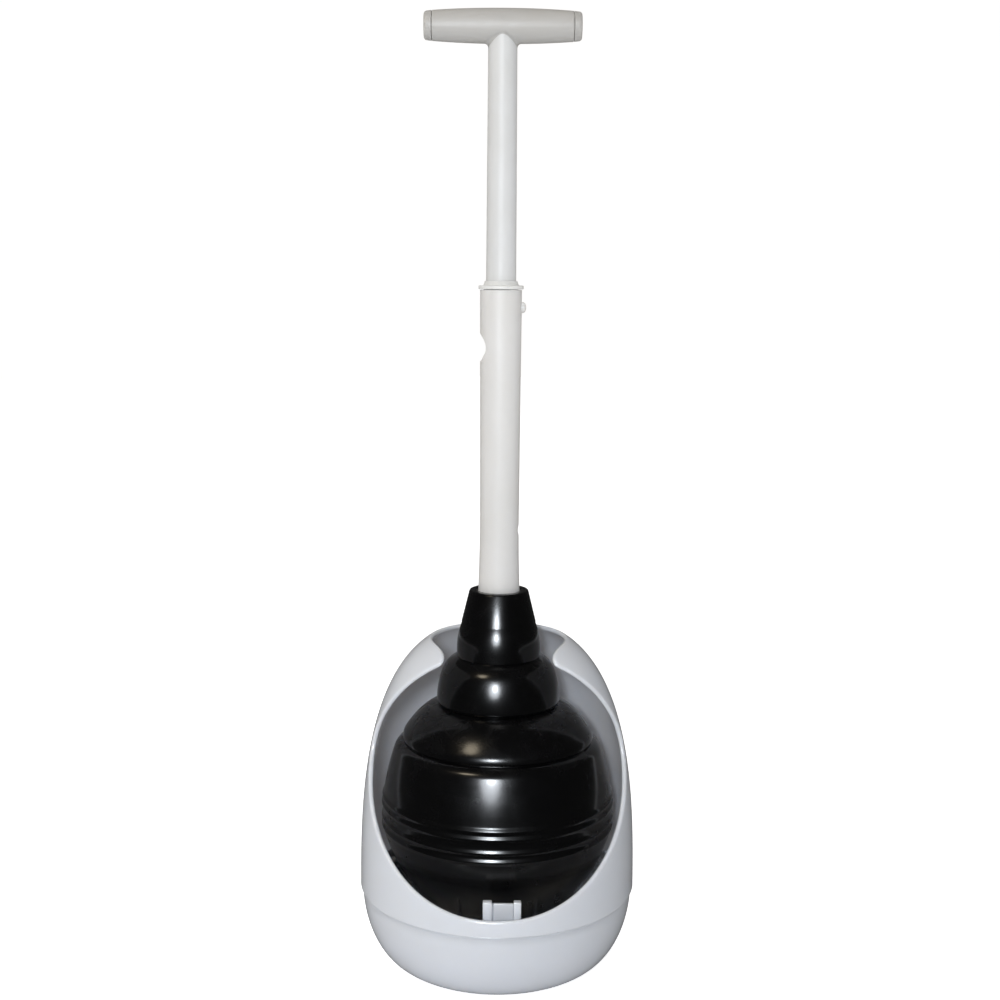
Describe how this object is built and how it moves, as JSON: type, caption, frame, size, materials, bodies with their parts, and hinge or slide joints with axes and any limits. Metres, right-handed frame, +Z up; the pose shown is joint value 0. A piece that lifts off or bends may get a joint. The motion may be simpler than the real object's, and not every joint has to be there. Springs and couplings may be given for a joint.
{
  "type": "toilet plunger with caddy",
  "caption": "Black bellows toilet plunger on a telescoping white T-handle, standing in an egg-shaped white caddy with an open front.",
  "frame": {"origin": "centre of the caddy's footprint, on the floor that the foot pads stand on", "axes": "+Z up along the handle; the caddy's open front faces -Y; +X is to the right when looking at the open front; the handle's crossbar lies along X"},
  "size_m": [0.1792, 0.1792, 0.6064],
  "materials": {
    "handle_white": "satin",
    "caddy_white": "gloss",
    "cup_black": "gloss",
    "bush_grey": "matte",
    "spring_steel": "brushed",
    "pad_black": "matte"
  },
  "bodies": {
    "caddy": {"caddy_base": "caddy_white", "caddy_shell": "caddy_white", "drip_tray": "caddy_white", "foot_pad_1": "pad_black", "foot_pad_2": "pad_black", "foot_pad_3": "pad_black", "foot_pad_4": "pad_black"},
    "cup": {"bellows_cup": "cup_black"},
    "shaft": {"outer_tube": "handle_white", "collar_bush": "handle_white", "tube_end_plug": "bush_grey", "cup_washer": "spring_steel", "cup_screw": "spring_steel"},
    "handle": {"inner_tube": "handle_white", "guide_bush": "bush_grey", "t_handle": "handle_white", "end_cap_left": "handle_white", "end_cap_right": "handle_white", "snap_spring": "spring_steel"},
    "button": {"lock_button": "handle_white"}
  },
  "joints": [
    {"name": "plunger_lift_out", "type": "slide", "parent": "caddy", "child": "cup", "axis": [0, -0.8, 0.6], "range_m": [0, 0.24]},
    {"name": "bellows_stroke", "type": "slide", "parent": "cup", "child": "shaft", "axis": [0, 0, -1], "range_m": [0, 0.045], "stiffness_N_per_m": 1300, "springref_m": -0.004, "deforming": ["bellows_cup"]},
    {"name": "handle_telescope", "type": "slide", "parent": "shaft", "child": "handle", "axis": [0, 0, -1], "range_m": [0, 0.141], "deforming": ["lock_button", "snap_spring"]},
    {"name": "button_press", "type": "slide", "parent": "handle", "child": "button", "axis": [-1, 0, 0], "range_m": [0, 0.005], "stiffness_N_per_m": 1200, "springref_m": -0.003, "deforming": ["snap_spring"]}
  ]
}
